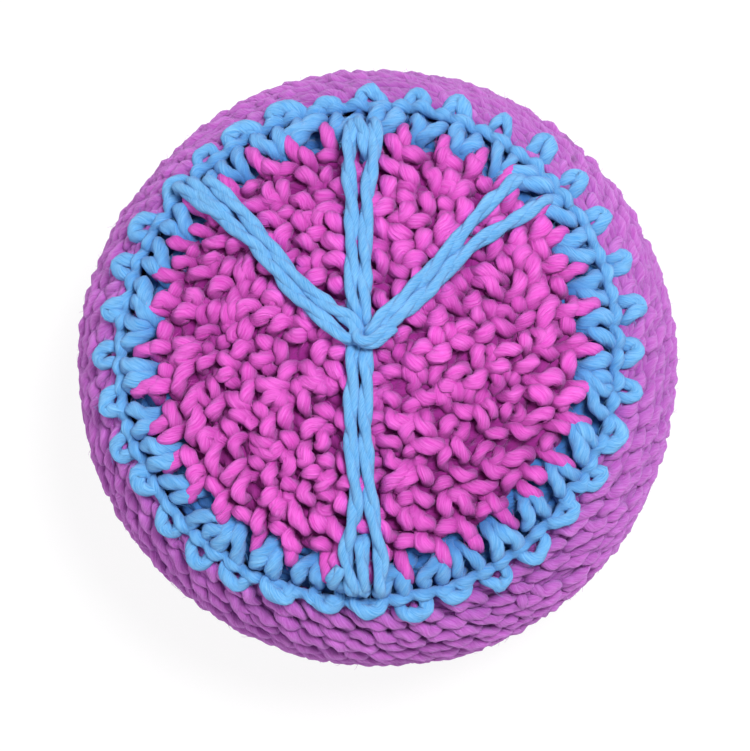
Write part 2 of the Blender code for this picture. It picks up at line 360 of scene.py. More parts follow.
# The border's outer knobs stand out at the left and right. Along the near and far side they lie
# flatter, by these shares of their width and height.
flatKnobs = {"face": (0.0, 0.0), "border": (0.9, 0.5), "side": (0.0, 0.0), "base": (0.0, 0.0)}


def flatShare(angle):
    # 1 at the near side; the far side's share grows more slowly, and is turned a little
    return max(0.0, -math.sin(angle)) ** 0.5 + max(0.0, math.sin(angle - 0.35)) ** 3


def crochetRound(kind, count, heads, feet, inner, outer, legs, top, dice):
    # the knots of one closed round of yarn
    turn = 2 * math.pi / count
    relief, sunken, raised = (rounds[name][kind] for name in ("relief", "sunken", "raised"))
    plump, slant = rounds["plump"][kind], rounds["slant"][kind]
    pitchJitter, heightJitter, outJitter, sizeJitter, wobble = crochet["jitter"][kind]
    mostOff, knobFrom = crochet["mostOff"], crochet["knobFrom"]
    knots = []
    shifts = dice.normal(0, 1, (count + 1, 8))
    shifts[count] = shifts[0]
    for i in range(count):
        here = heads[i] + turn * pitchJitter * shifts[i, 0]
        after = heads[(i + 1) % count] + turn * pitchJitter * shifts[i + 1, 0]
        if i == count - 1:
            after += 2 * math.pi
        foot = feet[i]
        height = (outer - inner) * (1 + heightJitter * np.clip(shifts[i, 1], -mostOff, mostOff))
        lift = outJitter * shifts[i, 2]
        size = yarn["radius"] * plump * (1 + sizeJitter * shifts[i, 3])
        tint = crochet["tint"] * shifts[i, 4]
        lean = crochet["lean"] * shifts[i, 5]
        for across, up, out, thick in crochet[legs]:
            share = min(max(crochet["shear"] * up, 0.0), 1.0)
            share = share * share * (3 - 2 * share)
            aside = across + lean * math.sin(math.pi * share) + slant * (up - crochet["slantFrom"])
            angle = foot + (here - foot) * share + aside * turn
            front = raised + (lift + out * relief if out > 0 else out * sunken)
            angle += wobble * turn * dice.normal()
            knots.append((angle, inner + height * (up + wobble * dice.normal()), front, size * thick, tint))
        wide, low = flatKnobs[kind]
        for across, up, out, thick in crochet[top]:
            if up > knobFrom:
                across = 0.5 + (across - 0.5) * (1 + wide * flatShare(here))
                reach = 1 + crochet["knobSpread"] * heightJitter * shifts[i, 7]
                up = knobFrom + (up - knobFrom) * (1 - low * flatShare(here)) * reach
            angle = here + (across + wobble * dice.normal()) * (after - here)
            front = raised + (crochet["topLift"] * lift + out * relief if out > 0 else out * sunken)
            dyed = tint + crochet["topTint"] * shifts[i, 6]
            knots.append((angle, inner + height * up, front, size * thick, dyed))
    return overFloor(np.array(knots))


def worn(run, dice):
    # the yarn's thickness and path vary a little every few millimetres
    places = np.arange(0, len(run) + yarn["wearStep"], yarn["wearStep"])
    for column, share in ((0, yarn["loose"]), (1, yarn["loose"]), (2, yarn["loose"]), (3, None)):
        changes = np.clip(dice.normal(0, 1, len(places)), -yarn["mostWorn"], yarn["mostWorn"])
        waves = np.interp(np.arange(len(run)), places, changes)
        run[:, column] += waves * (yarn["uneven"] * run[:, 3] if share is None else share)
    run[:, 2] = np.maximum(run[:, 2], run[:, 3])
    return run


def overFloor(knots):
    spots = onBag(knots[:, 0], knots[:, 1], knots[:, 2])
    spots[:, 2] = np.maximum(spots[:, 2], knots[:, 3])
    return np.c_[spots, knots[:, 3:]]


def fingerRun(heads, inner, outer, dice):
    turn = 2 * math.pi / len(heads)
    size = yarn["radius"] * rounds["plump"]["face"]
    jitter = crochet["fingerLoose"]
    knots = []
    for head in heads:
        reach = 1 + jitter["reach"] * dice.normal()
        loose = jitter["across"] * dice.normal()
        lift = jitter["lift"] * dice.normal()
        tint = jitter["tint"] * dice.normal()
        for across, up, out, thick in crochet["fingers"]:
            arc = inner + (outer - inner) * up * (reach if up > 0 else 1)
            knots.append((head + (across + loose) * turn, arc, out + lift, size * thick, tint))
    return threaded(overFloor(np.array(knots)), True, yarn["step"])


def beadRun(heads, inner, outer, dice):
    turn = 2 * math.pi / len(heads)
    size = yarn["radius"] * beadLine["size"]
    knots = []
    for head in heads:
        for across, up, out, thick in beadLine["knots"]:
            loose = beadLine["wobble"] * dice.normal(0, 1, 3)
            up += loose[1] + beadLine["pushedOut"] * flatShare(head)
            knots.append((head + (across + loose[0]) * turn, inner + (outer - inner) * up, out + loose[2],
                          size * thick, beadLine["tint"] * dice.normal()))
    return threaded(overFloor(np.array(knots)), True, yarn["step"])


def backingRuns(kind, count, heads, inner, outer, dice):
    runs, loose, places = [], backing["loose"], 2 * count
    for place in backing["places"][kind]:
        angles = heads[0] + 2 * math.pi * np.arange(places) / places
        arc = inner + (outer - inner) * place + backing["wave"] * dice.normal(0, loose["arc"], places)
        out = backing["out"][kind] + backing["fuller"][kind] * np.sqrt(0.5 + 0.5 * np.sin(angles))
        spots = onBag(angles, arc, out + backing["wave"] * dice.normal(0, loose["out"], places))
        size = yarn["radius"] * backing["size"][kind] * np.ones(places)
        spots[:, 2] = np.maximum(spots[:, 2], size)
        tints = dice.normal(0, loose["tint"], places)
        runs.append(threaded(np.c_[spots, size, tints], True, backing["step"]))
    return runs


# The rounds: face outwards from its ring, then border, side and base down to the closing knot.
rounds = {
    "seed": 4207,
    "faceCounts": [6, 12, 18, 24, 30],
    "innerFace": 4,          # so many of them make the first piece of the face
    "faceTurns": [0.2, 0.6, 0.1, 0.5, 0.9],    # shares of a stitch that each round is turned by
    "faceRadii": [1.0, 4.2, 7.9, 11.6, 15.4, 19.6],
    "borderCount": 36,
    "borderSkew": 0.3,
    "borderTurn": 0.5,
    "borderEnd": 23.5,
    "sideStart": 23.85,
    "sideRounds": 7,
    "sidePiece": 2,          # rounds in one piece of the side
    "baseCounts": [30, 24, 18, 12, 6],
    "baseHeight": 3.75,
    "closingHole": 0.9,
    "relief": {"face": 0.92, "border": 1.0, "side": 0.22, "base": 0.3},
    "sunken": {"face": 0.85, "border": 1.0, "side": 0.65, "base": 0.7},
    "raised": {"face": 0.0, "border": 0.0, "side": 0.84, "base": 0.5},   # mm
    "slant": {"face": 0.0, "border": 0.0, "side": 0.55, "base": 0.3},
    "plump": {"face": 0.98, "border": 1.0, "side": 0.89, "base": 0.95},
}


def footAngles(lowerHeads, count, skew):
    # the holes under the lower round's top loops; where stitches increase, two share one
    lower = len(lowerHeads)
    turn = 2 * math.pi / lower
    loops = lowerHeads + turn / 2
    chosen = [math.floor((k + skew) * lower / count) for k in range(count)]
    return np.array([loops[k % lower] + 2 * math.pi * (k // lower) for k in chosen])


def headAngles(feet, turnShare):
    # evenly spaced tops, turned by that share of a stitch, as straight over their feet as can be
    count = len(feet)
    pitch = 2 * math.pi / count
    drift = np.mean(feet / pitch - np.arange(count))
    return pitch * (np.arange(count) + turnShare + round(drift - turnShare))


dice = np.random.default_rng(rounds["seed"])
plan = []
first = rounds["faceCounts"][0]
heads = 2 * math.pi * (np.arange(first) + rounds["faceTurns"][0]) / first
feet = heads.copy()
edges = [arcAtRadius(r) for r in rounds["faceRadii"]]
for n, count in enumerate(rounds["faceCounts"]):
    if n:
        feet = footAngles(heads, count, dice.uniform(0, 1))
        heads = headAngles(feet, rounds["faceTurns"][n])
    top = "rim" if n == len(rounds["faceCounts"]) - 1 else "tooth"
    panel = "face1" if n < rounds["innerFace"] else "face2"
    plan.append((panel, count, heads, feet, edges[n], edges[n + 1], "legs", top))
borderEnd, sideStart = arcAtRadius(rounds["borderEnd"]), arcAtRadius(rounds["sideStart"])
count = rounds["borderCount"]
feet = footAngles(heads, count, rounds["borderSkew"])
heads = headAngles(feet, rounds["borderTurn"])
plan.append(("border", count, heads, feet, edges[-1], borderEnd, "borderLegs", "crescent"))
baseStart = arcTotal - rounds["closingHole"] - rounds["baseHeight"] * len(rounds["baseCounts"])
sideHeight = (baseStart - sideStart) / rounds["sideRounds"]
for n in range(rounds["sideRounds"]):
    feet = heads + math.pi / count
    heads = feet.copy()
    start = sideStart + n * sideHeight
    panel = "side%d" % (n // rounds["sidePiece"] + 1)
    plan.append((panel, count, heads, feet, start, start + sideHeight, "sideLegs", "flat"))
for n, count in enumerate(rounds["baseCounts"]):
    even = 2 * math.pi * np.arange(count) / count
    feet = even + heads[0] + math.pi / len(heads)
    heads = feet
    start = baseStart + n * rounds["baseHeight"]
    plan.append(("base", count, heads, feet, start, start + rounds["baseHeight"], "sideLegs", "flat"))

panels = {}
for panel, count, heads, feet, inner, outer, legs, top in plan:
    kind = panel.rstrip("1234")
    knots = crochetRound(kind, count, heads, feet, inner, outer, legs, top, dice)
    panels.setdefault(panel, []).append(worn(threaded(knots, True, yarn["step"]), dice))
    panels[panel] += backingRuns(kind, count, heads, inner, outer, dice)
    if kind == "border":
        panels[panel].append(beadRun(heads, inner, outer, dice))
        panels["face2"].append(worn(fingerRun(heads, inner, outer, dice), dice))
print("rounds planned:", sum(row[1] for row in plan), "stitches")

panelNames = {
    "face1": ("faceCrochet", "face_panel", "magenta_yarn"),
    "face2": ("faceCrochetRim", "face_panel", "magenta_yarn"),
    "border": ("borderCrochet", "blue_border", "blue_yarn"),
    "side1": ("sideCrochetUpper", "side_panel", "magenta_yarn"),
    "side2": ("sideCrochetGirth", "side_panel", "magenta_yarn"),
    "side3": ("sideCrochetLower", "side_panel", "magenta_yarn"),
    "side4": ("sideCrochetHem", "side_panel", "magenta_yarn"),
    "base": ("baseCrochet", "base_panel", "magenta_yarn"),
}
pieces = {}
for panel, (name, replaced, finish) in panelNames.items():
    made = spun(name, panels[panel], stitchSection, yarn["sides"], True, yarn["twistLength"])
    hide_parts(replaced)
    pieces[name] = made
    print(name, len(made.data.polygons) * 2, "triangles")

# The strands of the stitched figure, each of two loose plies, lying on the crown.
strands = {
    "plyRadius": 0.53,
    "plyApart": 0.25,
    "plyLength": 9.0,
    "plies": 2,
    "plyDepth": 0.10,
    "twistLength": 5.0,
    "slack": 0.35,            # how unevenly the plies wind, in radians
    "slackStep": 3,
    "longest": 60,
    "apartWave": (0.25, 0.9),     # how the plies part along the strand: by what share, radians per mm
    "uneven": 0.06,
    "unevenWave": 1.7,
    "tint": 0.3,
    "lie": 0.40,              # height of a strand's middle over the fabric
    "step": 0.35,
    "sides": 10,
}
strandPaths = {
    "upper_arm_first_strand": [
        (-0.2, 1.5, -0.4), (-0.62, 2.7, 0.35), (-0.90, 4.66, 0.1), (-0.92, 8.38, 0), (-0.99, 12.18, 0),
        (-1.36, 15.97, 0), (-1.38, 18.3, 0), (-1.27, 19.5, 0.3), (-1.33, 20.4, 0.2),
        (-1.4, 21.5, -1.6),
    ],
    "upper_arm_second_strand": [
        (0.3, 1.2, -0.4), (0.30, 2.3, 0.45), (0.30, 4.64, 0.1), (0.34, 8.4, 0), (0.34, 12.15, 0),
        (0.60, 15.93, 0), (0.94, 18.02, 0), (0.84, 19.5, 0.3), (0.78, 20.4, 0.2), (0.7, 21.5, -1.6),
    ],
    "upper_arm_short_strand": [
        (-0.75, 21.2, -1.4), (-0.65, 20.5, 0.4), (-0.2, 19.4, 0.4), (0.05, 18.4, 0.1),
        (0.1, 17.6, -1.6),
    ],
    "lower_arm_second_strand": [
        (-0.5, -0.3, -0.5), (-0.72, -1.4, 0.2), (-0.80, -3.57, 0.1), (-0.97, -8.07, 0),
        (-0.80, -11.38, 0), (-0.66, -14.30, 0), (-1.20, -16.92, 0), (-1.70, -18.23, 0),
        (-1.53, -20.40, 0.2), (-1.3, -21.7, 0.3), (-1.3, -22.6, -1.6),
    ],
    "lower_arm_first_strand": [
        (0.3, -0.5, -0.5), (0.45, -1.6, 0.2), (0.46, -3.59, 0.1), (0.30, -8.09, 0), (0.48, -11.66, 0),
        (0.66, -14.31, 0), (1.07, -16.94, 0), (1.42, -19.56, 0.2), (1.2, -21.6, 0.3),
        (1.1, -22.6, -1.6),
    ],
    "lower_arm_short_strand": [
        (-0.15, -22.6, -1.4), (-0.25, -21.6, 0.3), (-0.2, -19.6, 0.2), (-0.15, -18.2, 0.1),
        (-0.1, -17.4, -1.6),
    ],
    "left_arm_first_strand": [
        (-0.2, 0.5, -0.4), (-0.85, 0.1, 0.5), (-1.65, 0.35, 0.75), (-2.9, 1.5, 0.6), (-6.1, 4.5, 0.2),
        (-9.85, 9.1, 0), (-13.5, 12.3, 0), (-15.6, 13.9, 0.2), (-17.10, 15.17, 0.3),
        (-17.8, 15.9, -1.6),
    ],
    "left_arm_second_strand": [
        (-0.75, 0.2, 0.2), (-0.42, 0.95, 0.85), (-1.0, 1.85, 0.85), (-2.6, 2.9, 0.6),
        (-5.32, 5.18, 0.2), (-9.07, 9.83, 0), (-11.47, 12.73, 0), (-13.0, 14.3, 0.2),
        (-14.1, 15.3, 0.3), (-14.9, 16.2, -1.6),
    ],
    "left_arm_short_strand": [
        (-16.6, 16.3, -1.4), (-15.9, 15.4, 0.3), (-14.2, 13.6, 0.2), (-13.0, 12.5, 0.1),
        (-12.3, 12.0, -1.6),
    ],
    "right_arm_first_strand": [
        (0.3, 0.3, -0.3), (0.85, 0.9, 0.75), (2.5, 2.6, 0.6), (5.5, 5.7, 0.2), (8.1, 8.8, 0),
        (10.4, 11.7, 0), (11.9, 13.3, 0.2), (12.9, 14.4, 0.1), (13.9, 15.5, -0.4), (14.6, 16.3, -1.6),
    ],
    "right_arm_second_strand": [
        (0.6, 0.5, -0.2), (1.7, 0.9, 0.7), (3.2, 1.9, 0.7), (6.7, 5.2, 0.2), (9.0, 7.9, 0),
        (11.6, 10.0, 0), (13.8, 11.3, 0.2), (15.3, 12.5, 0.2), (16.4, 13.3, -0.3), (17.4, 14.0, -1.6),
    ],
    "centre_tie": [
        (2.7, 1.2, 0.5), (2.0, 0.5, 1.15), (1.3, -0.1, 1.3), (0.5, -0.32, 1.3), (-0.1, -0.05, 1.1),
        (-0.25, 0.45, 0.7), (-0.05, 0.9, -0.4),
    ],
}
# A short yarn end of the border sticks out beside the lower arm.
yarnEnd = [(-2.2, -19.9, 0.2), (-2.55, -20.45, 0.5), (-2.95, -21.0, 0.35), (-3.2, -21.5, -0.6)]


def crownSpot(x, y, lift):
    # a point above the crown at that place on the plan, lift in mm over where a strand rests
    radius, angle = math.hypot(x, y), math.atan2(y, x)
    arc = float(np.interp(radius, outerRadii[arcs < arcTotal / 2], arcs[arcs < arcTotal / 2]))
    return onBag(angle, arc, bag["yarnInset"] + strands["lie"] + lift)


def twoPlies(path):
    knots = np.array([(*crownSpot(x, y, lift), strands["plyRadius"], strands["tint"] * dice.normal())
                      for x, y, lift in path])
    line = threaded(knots, False, strands["step"])
    ahead = np.gradient(line[:, :3], axis=0)
    ahead /= np.linalg.norm(ahead, axis=1)[:, None]
    side = np.cross(ahead, (0, 0, 1.0))
    side /= np.linalg.norm(side, axis=1)[:, None]
    rise = np.cross(side, ahead)
    along = np.r_[0, np.cumsum(np.linalg.norm(np.diff(line[:, :3], axis=0), axis=1))]
    places = np.arange(0, strands["longest"], strands["slackStep"])
    loose = np.interp(along, places, dice.normal(0, strands["slack"], len(places)))
    share, wave = strands["apartWave"]
    phase = dice.uniform(*anyTurn) + 2 * math.pi * along / strands["plyLength"] + loose
    plies = []
    for half in (0, math.pi):
        ply = line.copy()
        apart = strands["plyApart"] * (1 + share * np.sin(wave * along + half))[:, None]
        ply[:, :3] += apart * (np.cos(phase + half)[:, None] * side + np.sin(phase + half)[:, None] * rise)
        ply[:, 3] *= 1 + strands["uneven"] * np.sin(strands["unevenWave"] * along + phase + half)
        plies.append(ply)
    return plies


plySection = sectionCurve("plySection", strands["plies"], strands["sides"], strands["plyDepth"])
for node, path in dict(strandPaths, borderYarnEnd=yarnEnd).items():
    name = node + "_yarn" if node in strandPaths else node
    made = spun(name, twoPlies(path), plySection, strands["sides"], False, strands["twistLength"])
    if node in strandPaths:
        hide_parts(node)
    pieces[name] = made
print("strands laid:", len(strandPaths))

# Fine hairs that stand up from the yarn: each a thin curved fibre rooted in a ply.
hairs = {
    "counts": {
        "faceCrochet": 1500, "faceCrochetRim": 1100, "borderCrochet": 1500,
        "sideCrochetUpper": 1100, "sideCrochetGirth": 1100, "arms": 700,
    },
    "seed": 5,
    "radius": 0.017,
    "length": (0.4, 1.0),
    "lift": (0.03, 0.13),
    "lowest": 0.4,            # a hair grows only where the yarn stands this far out
    "stray": 0.5,
    "curl": 0.3,
    "shares": (0.0, 0.3, 0.65, 1.0),     # places along a hair
    "rises": (-0.08, 0.6, 1.0, 0.8),     # and its height there, as shares of its lift
    "tip": 0.5,
    "standOut": 2.0,
}


def hairRun(root, ahead, outwards, dice):
    length, lift = dice.uniform(*hairs["length"]), dice.uniform(*hairs["lift"])
    ahead = ahead * dice.choice((-1, 1)) + hairs["stray"] * dice.normal(0, 1, 3)
    ahead -= outwards * (ahead @ outwards)
    ahead /= np.linalg.norm(ahead)
    curl = np.cross(ahead, outwards) * dice.normal(0, hairs["curl"])
    shares = np.array(hairs["shares"])[:, None]
    rises = np.array(hairs["rises"])[:, None] * lift
    return root + ahead * shares * length + outwards * rises + curl * shares ** 2 * length


def hairsOn(name, made, count, dice):
    mesh = made.data
    spots = np.empty(len(mesh.vertices) * 3)
    mesh.vertices.foreach_get("co", spots)
    normals = np.empty(len(mesh.vertices) * 3)
    mesh.vertices.foreach_get("normal", normals)
    spots, normals = spots.reshape(-1, 3) / mm, normals.reshape(-1, 3)
    sides = yarn["sides"] if "Crochet" in name else strands["sides"]
    proud = np.nonzero(standOut(spots[:-sides]) > hairs["lowest"])[0]
    runs = []
    for chosen in dice.choice(proud, count):
        ahead = spots[chosen + sides] - spots[chosen]
        if 1e-3 < np.linalg.norm(ahead) < 1:
            runs.append(hairRun(spots[chosen], ahead / np.linalg.norm(ahead), normals[chosen], dice))
    return runs


def combed(name, runs):
    curve = bpy.data.curves.new(name, "CURVE")
    curve.dimensions = "3D"
    curve.bevel_depth = hairs["radius"] * mm
    curve.bevel_resolution = 0
    curve.use_fill_caps = True
    for run in runs:
        spline = curve.splines.new("POLY")
        spline.points.add(len(run) - 1)
        spline.points.foreach_set("co", np.c_[run * mm, np.ones(len(run))].ravel())
        spline.points.foreach_set("radius", np.linspace(1.0, hairs["tip"], len(run)))
    holder = bpy.data.objects.new(name + "Path", curve)
    scene.collection.objects.link(holder)
    bpy.context.view_layer.update()
    mesh = bpy.data.meshes.new_from_object(holder.evaluated_get(bpy.context.evaluated_depsgraph_get()))
    bpy.data.objects.remove(holder)
    work = bmesh.new()
    work.from_mesh(mesh)
    bmesh.ops.remove_doubles(work, verts=work.verts, dist=1e-7)
    bmesh.ops.recalc_face_normals(work, faces=work.faces)
    for face in work.faces:
        face.smooth = True
    work.to_mesh(mesh)
    work.free()
    # hairs are given a high standOut, so they take none of the painted shade
    proud = mesh.attributes.new("standOut", "FLOAT", "POINT")
    proud.data.foreach_set("value", np.full(len(mesh.vertices), hairs["standOut"], np.float32))
    made = bpy.data.objects.new(name, mesh)
    scene.collection.objects.link(made)
    return made


hairDice = np.random.default_rng(hairs["seed"])
for name, count in hairs["counts"].items():
    if name == "arms":
        runs = []
        for piece in [key for key in pieces if key.endswith("_yarn")]:
            runs += hairsOn(piece, pieces[piece], count // len(strandPaths), hairDice)
    else:
        runs = hairsOn(name, pieces[name], count, hairDice)
    made = combed(name.replace("Crochet", "") + "Hairs", runs)
    pieces[made.name] = made
print("hairs combed")

# The last round of the base is drawn shut over this knot.
closing = {
    "radius": 0.95, "narrower": 0.45,
    "turns": 1.6, "steps": 15,
    "height": 0.8, "climb": 0.9,
    "size": 0.9,
}
spots = []
for k in range(closing["steps"] + 1):
    turn = 2 * math.pi * closing["turns"] * k / closing["steps"]
    reach = closing["radius"] * (1 - closing["narrower"] * k / closing["steps"])
    height = closing["height"] + closing["climb"] * k / closing["steps"]
    size = yarn["radius"] * closing["size"]
    spots.append((reach * math.cos(turn), reach * math.sin(turn), height, size, 0.0))
knotRun = threaded(spots, False, yarn["step"])
madeKnot = spun("closingKnotYarn", [knotRun], stitchSection, yarn["sides"], False, yarn["twistLength"])
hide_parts("closing_knot")
pieces["closingKnotYarn"] = madeKnot

# The filling: moulded plastic pellets, shaken into the bag.
filling = {
    "pellet": (1.75, 1.75, 1.35),   # half sizes
    "apart": 3.75,
    "clear": 4.9,                   # from the fabric's outside to a pellet's middle
    "sides": 7,
    "rings": 5,
    "levels": 12,
    "reach": 9,                     # pellets from the middle outwards
    "lowest": 3.5,
    "rowShare": 0.87,
    "levelShare": 0.82,
    "shaken": 0.2,
    "seed": 77,
}
fillRadii, fillHeights = outline(filling["clear"])


def insideFill(spot):
    reach = math.hypot(spot[0], spot[1])
    upper = fillHeights >= bag["girthHeight"]
    if not fillHeights.min() < spot[2] < fillHeights.max():
        return False
    part = upper if spot[2] >= bag["girthHeight"] else ~upper
    order = np.argsort(fillHeights[part])
    return reach < np.interp(spot[2], fillHeights[part][order], fillRadii[part][order])


pelletWork = bmesh.new()
bmesh.ops.create_uvsphere(pelletWork, u_segments=filling["sides"], v_segments=filling["rings"], radius=1)
onePellet = bpy.data.meshes.new("onePellet")
pelletWork.to_mesh(onePellet)
pelletWork.clear()
pelletDice = np.random.default_rng(filling["seed"])
apart, shaken = filling["apart"], filling["shaken"]
pelletCount = 0
places = range(-filling["reach"], filling["reach"] + 1)
for level in range(filling["levels"]):
    for row in places:
        for place in places:
            spot = np.array([(place + 0.5 * (row + level) % 1) * apart,
                             (row + (level % 2) / 3) * apart * filling["rowShare"],
                             filling["lowest"] + level * apart * filling["levelShare"]])
            spot += pelletDice.uniform(-shaken, shaken, 3)
            if not insideFill(spot):
                continue
            tumble = Matrix.Rotation(pelletDice.uniform(*anyTurn), 4, "X")
            tumble = tumble @ Matrix.Rotation(pelletDice.uniform(*anyTurn), 4, "Z")
            sized = Matrix.Diagonal((*(half * mm for half in filling["pellet"]), 1))
            shape = onePellet.copy()
            shape.transform(Matrix.Translation(Vector(spot) * mm) @ tumble @ sized)
            pelletWork.from_mesh(shape)
            bpy.data.meshes.remove(shape)
            pelletCount += 1
for face in pelletWork.faces:
    face.smooth = True
pelletMesh = bpy.data.meshes.new("pelletFilling")
pelletWork.to_mesh(pelletMesh)
pelletWork.free()
pellets = bpy.data.objects.new("pelletFilling", pelletMesh)
scene.collection.objects.link(pellets)
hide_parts("pellet_fill")
print("pellets:", pelletCount)


def newGroup(name, inputs, outputs):
    group = bpy.data.node_groups.new(name, "ShaderNodeTree")
    for socket, kind, value in inputs:
        made = group.interface.new_socket(socket, in_out="INPUT", socket_type=kind)
        if value is not None:
            made.default_value = value
    for socket, kind in outputs:
        group.interface.new_socket(socket, in_out="OUTPUT", socket_type=kind)
    return group, group.nodes.new("NodeGroupInput"), group.nodes.new("NodeGroupOutput")


def node(tree, kind, inputs=None, **settings):
    made = tree.nodes.new(kind)
    for key, value in settings.items():
        setattr(made, key, value)
    for key, value in (inputs or {}).items():
        if isinstance(value, bpy.types.NodeSocket):
            tree.links.new(value, made.inputs[key])
        else:
            made.inputs[key].default_value = value
    return made


def attribute(tree, name, output):
    return node(tree, "ShaderNodeAttribute", attribute_name=name, attribute_type="GEOMETRY").outputs[output]


def maths(tree, operation, *values, **settings):
    return node(tree, "ShaderNodeMath", dict(enumerate(values)), operation=operation, **settings).outputs[0]


def mapped(tree, value, ends, **settings):
    return node(tree, "ShaderNodeMapRange", dict(ends, Value=value), **settings).outputs["Result"]


def mixed(tree, share, first, second):
    return node(tree, "ShaderNodeMix", {0: share, 6: first, 7: second}, data_type="RGBA").outputs[2]


# Fibres that run along the yarn, the dye that took unevenly, and painted shade where the yarn lies low among
# the stitches.
def fibreGroup():
    group, given, result = newGroup(
        "yarnFibres",
        [("Fibre Size", "NodeSocketFloat", 5.0), ("Patch Size", "NodeSocketFloat", 0.35)],
        [("Streaks", "NodeSocketFloat"), ("Patches", "NodeSocketFloat"), ("Height", "NodeSocketFloat")])
    space = attribute(group, "yarnSpace", "Vector")
    stretch, stretchWide = [
        node(group, "ShaderNodeVectorMath", {0: space, 1: by}, operation="MULTIPLY").outputs[0]
        for by in ((1.0, 1.0, 0.22), (0.8, 0.8, 1.0))]
    fine = node(group, "ShaderNodeTexNoise", {
        "Vector": stretch, "Scale": given.outputs["Fibre Size"], "Detail": 5.0, "Roughness": 0.62})
    wide = node(group, "ShaderNodeTexNoise", {
        "Vector": stretchWide, "Scale": given.outputs["Patch Size"], "Detail": 2.0})
    streaks = mapped(group, fine.outputs["Fac"], {"From Min": 0.33, "From Max": 0.67})
    patches = mapped(group, wide.outputs["Fac"], {"From Min": 0.30, "From Max": 0.70})
    height = maths(group, "MULTIPLY_ADD", streaks, 0.8, patches)
    for socket, value in (("Streaks", streaks), ("Patches", patches), ("Height", height)):
        group.links.new(value, result.inputs[socket])
    return group


def dyeAndPaintedShadeGroup():
    group, given, result = newGroup(
        "yarnDye",
        [(name, "NodeSocketColor", (grey, grey, grey, 1)) for name, grey in (
            ("Dye", 0.5), ("Pale Fibre And Painted Sheen", 0.8), ("Deep Fibre", 0.2), ("Painted Shade Color", 0.1))]
        + [(name, "NodeSocketFloat", value) for name, value in (
            ("Streaks", 0.5), ("Patches", 0.5), ("Variation", 1.0),
            ("Painted Shade Start", -0.6), ("Painted Shade End", 1.4))],
        [("Color", "NodeSocketColor")])
    given = given.outputs
    stitch = maths(group, "MULTIPLY_ADD", attribute(group, "stitchTint", "Fac"), 0.22, 0.5, use_clamp=True)
    both = maths(group, "ADD", stitch, given["Patches"])
    share = mapped(group, both, {"From Min": 0.3, "From Max": 1.7, "To Max": 0.5})
    varied = maths(group, "MULTIPLY", share, given["Variation"])
    deep = mixed(group, varied, given["Dye"], given["Deep Fibre"])
    # pale streaks of fibre, made strong enough to paint the yarn's whitish sheen as well
    pale = mixed(group, maths(group, "MULTIPLY", given["Streaks"], 0.55), deep, given["Pale Fibre And Painted Sheen"])
    # painted shade: the lower a yarn lies among the stitches, the more its colour turns to the shade colour
    paintedShadeMask = mapped(group, attribute(group, "standOut", "Fac"),
                   {"From Min": given["Painted Shade Start"], "From Max": given["Painted Shade End"]},
                   interpolation_type="SMOOTHSTEP")
    group.links.new(mixed(group, paintedShadeMask, given["Painted Shade Color"], pale), result.inputs["Color"])
    return group


fibres, dyeAndPaintedShadeTree = fibreGroup(), dyeAndPaintedShadeGroup()


def newMaterial(name):
    made = bpy.data.materials.new(name)
    made.use_nodes = True
    made.node_tree.nodes.clear()
    return made, made.node_tree


def yarnMaterial(name, finish):
    made, tree = newMaterial(name)
    fibre = node(tree, "ShaderNodeGroup", node_tree=fibres)
    fibre.inputs["Fibre Size"].default_value = finish["fibreSize"]
    dyeAndShadeNode = node(tree, "ShaderNodeGroup", node_tree=dyeAndPaintedShadeTree)
    for socket in ("Dye", "Pale Fibre And Painted Sheen", "Deep Fibre", "Variation",
                   "Painted Shade Color", "Painted Shade Start", "Painted Shade End"):
        dyeAndShadeNode.inputs[socket].default_value = finish[socket]
    tree.links.new(fibre.outputs["Streaks"], dyeAndShadeNode.inputs["Streaks"])
    tree.links.new(fibre.outputs["Patches"], dyeAndShadeNode.inputs["Patches"])
    bump = node(tree, "ShaderNodeBump", {
        "Height": fibre.outputs["Height"],
        "Strength": finish["bumpStrength"], "Distance": finish["bumpDepth"] * mm})
    rough = mapped(tree, fibre.outputs["Streaks"], {
        "To Min": finish["roughLow"], "To Max": finish["roughHigh"]})
    # painted shade: each yarn's colour is darkened towards the shade colour where its surface turns away
    # from the camera, so only its middle shows bright
    facing = node(tree, "ShaderNodeLayerWeight", {"Blend": 0.5})
    paintedEdgeShade = mapped(tree, facing.outputs["Facing"],
                  {"From Min": finish["edgeFrom"], "From Max": 1.0, "To Max": finish["edgeShade"]},
                  interpolation_type="SMOOTHSTEP")
    shader = node(tree, "ShaderNodeBsdfPrincipled", {
        "Base Color": mixed(tree, paintedEdgeShade, dyeAndShadeNode.outputs["Color"], finish["Painted Shade Color"]), "Roughness": rough,
        "Normal": bump.outputs["Normal"], "Specular IOR Level": finish["specular"],
        "Sheen Weight": finish["sheen"], "Sheen Roughness": finish["sheenRoughness"],
        "Sheen Tint": finish["sheenTint"]})
    end = node(tree, "ShaderNodeOutputMaterial")
    tree.links.new(shader.outputs["BSDF"], end.inputs["Surface"])
    return made


# Painted shade settings: the crease values darken yarn that lies low among the stitches, the edge values
# darken each yarn towards its edges.
yarnFinish = {
    "fibreSize": 4.5, "Variation": 1.0, "bumpStrength": 0.8, "bumpDepth": 0.14,
    "roughLow": 0.72, "roughHigh": 0.9, "specular": 0.3, "sheen": 0.35, "sheenRoughness": 0.45,
    "Painted Shade Start": -0.2, "Painted Shade End": 2.1, "edgeFrom": 0.12, "edgeShade": 0.7,
}
magentaFinish = dict(yarnFinish, **{
    "Dye": (0.725, 0.058, 0.525, 1), "Pale Fibre And Painted Sheen": (0.98, 0.255, 0.86, 1),
    "Deep Fibre": (0.46, 0.035, 0.34, 1), "Painted Shade Color": (0.28, 0.010, 0.22, 1),
    "sheenTint": (0.85, 0.45, 1.0, 1)})
